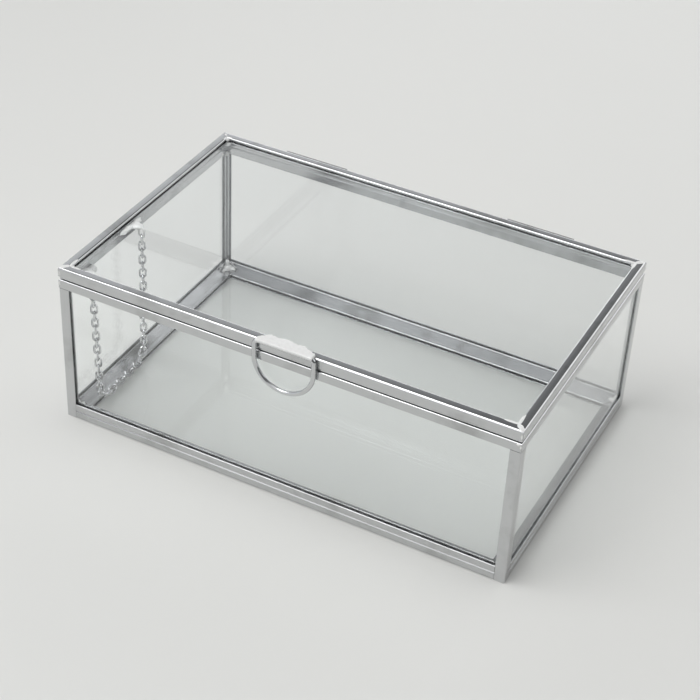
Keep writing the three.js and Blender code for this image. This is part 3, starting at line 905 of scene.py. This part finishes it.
class JEWELRYBOX_OT_solder(bpy.types.Operator):
    """Models the solder in the mitres, in the inside corners and under the pull loop"""

    bl_idname = "jewelrybox.solder"
    bl_label = "Corner solder"

    def execute(self, context):
        lid = bmesh.new()
        box = bmesh.new()
        for seed, (corner, place) in enumerate(CORNERS.items()):
            corner_point = place.to_translation()
            to_right = 1 if corner_point.x < MIDDLE_X else -1
            to_back = 1 if corner_point.y < MIDDLE_Y else -1
            inwards = Vector((to_right, to_back, 0))
            diagonal = pi / 4 if inwards.x == inwards.y else -pi / 4
            add_lid_solder(lid, corner_point, inwards, diagonal, seed, LID_SOLDER_SHARE[corner])
            add_box_solder(box, corner_point, inwards, diagonal, seed, LEDGE_LUMP[corner] * MM)

        # Two single lumps: under the lid pane at the back left, and on the rim at the front right
        beside_rails, above_strip = LID_RAIL_WIDTH + 0.4 * MM, 1.2 * MM
        under_pane = Vector((LEFT + beside_rails, BACK - beside_rails, LID_BOTTOM + above_strip))
        add_lump(lid, under_pane, mm(1.5, 1.2, 0.9), SEED_UNDER_PANE)
        from_right, from_front, from_top = mm(1.5, 0.25, 0.6)
        knob = Vector((RIGHT - from_right, FRONT + from_front, RIM_TOP - from_top))
        add_lump(box, knob, mm(0.9, 0.55, 0.5), SEED_KNOB)

        loop_low, loop_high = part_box("pull_loop")
        bed_inset, bed_proud, bed_sink, bed_rise = mm(1.5, 0.02, 0.1, 0.05)
        bed_low = Vector((loop_low.x + bed_inset, loop_low.y - bed_proud, LID_TOP - bed_sink))
        bed_high = Vector((loop_high.x - bed_inset, loop_high.y, loop_high.z + bed_rise))
        bed = solder_bed(bed_low, bed_high)
        keep_piece("loop_solder_bed", bed, "plated solder", "lid", "solder")
        keep_piece("lid_corner_solder", lid, "plated solder", "lid", "solder")
        keep_piece("box_corner_solder", box, "plated solder", "box", "solder")
        return {"FINISHED"}


# Camera, in the frame's metres and degrees, with its lens and sensor in millimetres
CAMERA_PLACE = (251.38 * MM, -519.96 * MM, 461.31 * MM)
CAMERA_AZIMUTH = 25.91
CAMERA_ELEVATION = 36.68
CAMERA_ROLL = 3.07
CAMERA_LENS = 89.2
CAMERA_SENSOR = 36
CAMERA_CLIP = (0.01, 50)

# Soft boxes: place, width, height and power in watts, all aimed at one point
SOFT_BOX_AIM = Vector((0, 0, 0.03))
SOFT_BOXES = {
    "key soft box": ((-0.55, -0.5, 1.45), 0.9, 0.95, 11.5),
    "front soft box": ((-0.12, -1.37, 1.16), 1.5, 1.2, 4.8),
    "back soft box": ((0.8, 1.02, 0.62), 1.5, 0.75, 4.8),
    "back strip": ((-0.3, 1.45, 0.45), 1.3, 0.5, 3.1),
    "top soft box": ((0.1, 0.1, 1.6), 1.2, 1.2, 5.6),
}

# Floor, just under the box, and the sky, which darkens upwards and to the right
FLOOR_RADIUS = 4.0
FLOOR_SEGMENTS = 96
FLOOR_DROP = 0.02 * MM
SKY_COLOUR = "#F2F4F6"
SKY_DARKENS = (0.9, 0, 1)
SKY_RANGE = {"From Min": 0.05, "From Max": 0.42, "To Min": 0.85, "To Max": 0.18}


class JEWELRYBOX_OT_stage(bpy.types.Operator):
    """Sets up the pale floor, the soft studio light and the camera"""

    bl_idname = "jewelrybox.stage"
    bl_label = "Studio stage"

    def execute(self, context):
        scene = context.scene
        scene.view_settings.view_transform = "Standard"

        bm = bmesh.new()
        bmesh.ops.create_circle(bm, cap_ends=True, segments=FLOOR_SEGMENTS, radius=FLOOR_RADIUS)
        mesh = bpy.data.meshes.new("studio_floor")
        bm.to_mesh(mesh)
        bm.free()
        mesh.materials.append(finish("painted floor"))
        floor = bpy.data.objects.new("studio_floor", mesh)
        floor.location.z = -FLOOR_DROP
        scene.collection.objects.link(floor)

        world = bpy.data.worlds.new("studio")
        world.use_nodes = True
        tree = world.node_tree
        tree.nodes.clear()
        sky = add_node(tree, "ShaderNodeTexCoord")
        rise = add_node(tree, "ShaderNodeVectorMath", {"operation": "DOT_PRODUCT", 1: SKY_DARKENS},
                        {0: sky.outputs["Generated"]})
        height = add_node(tree, "ShaderNodeMapRange", SKY_RANGE, {"Value": rise.outputs["Value"]})
        light = add_node(tree, "ShaderNodeBackground", {"Color": rgba(linear(SKY_COLOUR))},
                         {"Strength": height.outputs["Result"]})
        output = add_node(tree, "ShaderNodeOutputWorld")
        tree.links.new(light.outputs["Background"], output.inputs["Surface"])
        scene.world = world

        for name, (place, width, high, power) in SOFT_BOXES.items():
            lamp = bpy.data.lights.new(name, "AREA")
            lamp.shape = "RECTANGLE"
            lamp.size, lamp.size_y = width, high
            lamp.energy = power
            holder = bpy.data.objects.new(name, lamp)
            holder.location = place
            holder.rotation_euler = (SOFT_BOX_AIM - Vector(place)).to_track_quat("-Z", "Y").to_euler()
            scene.collection.objects.link(holder)

        lens = bpy.data.cameras.new("camera")
        lens.lens = CAMERA_LENS
        lens.sensor_width = CAMERA_SENSOR
        lens.clip_start, lens.clip_end = CAMERA_CLIP
        camera = bpy.data.objects.new("camera", lens)
        turn = Matrix.Rotation(radians(CAMERA_AZIMUTH), 4, "Z")
        tilt = Matrix.Rotation(radians(90 - CAMERA_ELEVATION), 4, "X")
        roll = Matrix.Rotation(radians(CAMERA_ROLL), 4, "Z")
        camera.matrix_world = Matrix.Translation(CAMERA_PLACE) @ turn @ tilt @ roll
        scene.collection.objects.link(camera)
        scene.camera = camera
        return {"FINISHED"}


OPERATORS = (
    JEWELRYBOX_OT_panes,
    JEWELRYBOX_OT_bottom_rails,
    JEWELRYBOX_OT_posts,
    JEWELRYBOX_OT_rim_rails,
    JEWELRYBOX_OT_lid_rails,
    JEWELRYBOX_OT_pull_loop,
    JEWELRYBOX_OT_hinges,
    JEWELRYBOX_OT_stay_chain,
    JEWELRYBOX_OT_chain_eyes,
    JEWELRYBOX_OT_solder,
    JEWELRYBOX_OT_stage,
)


class JEWELRYBOX_PT_panel(bpy.types.Panel):
    """Lists the box's sizes, colours and pieces"""

    bl_idname = "JEWELRYBOX_PT_panel"
    bl_label = "Glass jewelry box"
    bl_space_type = "VIEW_3D"
    bl_region_type = "UI"
    bl_category = "Jewelry Box"

    def draw(self, context):
        for settings in (context.scene.jewelry_box_sizes, context.scene.jewelry_box_colours):
            column = self.layout.column()
            for name in settings.__annotations__:
                column.prop(settings, name)
        for operator in OPERATORS:
            self.layout.operator(operator.bl_idname)


CLASSES = (JewelryBoxSizes, JewelryBoxColours, *OPERATORS, JEWELRYBOX_PT_panel)


def register():
    """Registers the classes and gives the scene its sizes and colours."""
    for item in CLASSES:
        bpy.utils.register_class(item)
    bpy.types.Scene.jewelry_box_sizes = PointerProperty(type=JewelryBoxSizes)
    bpy.types.Scene.jewelry_box_colours = PointerProperty(type=JewelryBoxColours)


def unregister():
    """Takes back what register did."""
    del bpy.types.Scene.jewelry_box_colours
    del bpy.types.Scene.jewelry_box_sizes
    for item in reversed(CLASSES):
        bpy.utils.unregister_class(item)


def main():
    register()
    bpy.ops.jewelrybox.panes()
    bpy.ops.jewelrybox.bottom_rails()
    bpy.ops.jewelrybox.posts()
    bpy.ops.jewelrybox.rim_rails()
    bpy.ops.jewelrybox.lid_rails()
    bpy.ops.jewelrybox.pull_loop()
    bpy.ops.jewelrybox.hinges()
    bpy.ops.jewelrybox.stay_chain()
    bpy.ops.jewelrybox.chain_eyes()
    bpy.ops.jewelrybox.solder()
    bpy.ops.jewelrybox.stage()


if __name__ == "__main__":
    main()
